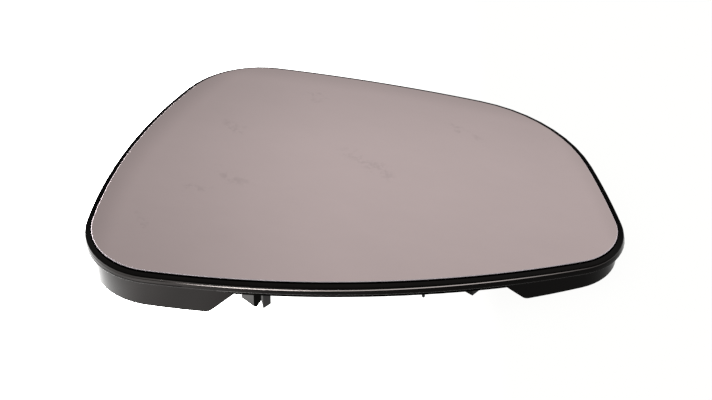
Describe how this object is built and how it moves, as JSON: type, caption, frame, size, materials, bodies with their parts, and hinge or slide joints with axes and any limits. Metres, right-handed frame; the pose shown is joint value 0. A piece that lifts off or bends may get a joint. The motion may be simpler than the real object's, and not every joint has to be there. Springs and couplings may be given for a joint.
{
  "type": "car door mirror glass",
  "caption": "Convex door mirror pane bonded into a black moulded carrier, whose ring plugs onto the adjuster inside a car's mirror housing.",
  "frame": {"origin": "middle of the adjuster ring's mouth, in the plane of the skirt's lower edge", "axes": "+Z along the adjuster ring's axis, out of the mirror's face; +X along the glass towards its pointed end; +Y towards the long straighter edge"},
  "size_m": [0.1781, 0.125, 0.016],
  "materials": {
    "mirror_coating": "polished, grey-brown reflection",
    "foam": "foam adhesive pad, cut edge",
    "black_plastic": "satin moulded"
  },
  "bodies": {
    "root": {"mirror_glass": "mirror_coating", "adhesive_pad": "foam", "carrier": "black_plastic"}
  },
  "joints": []
}
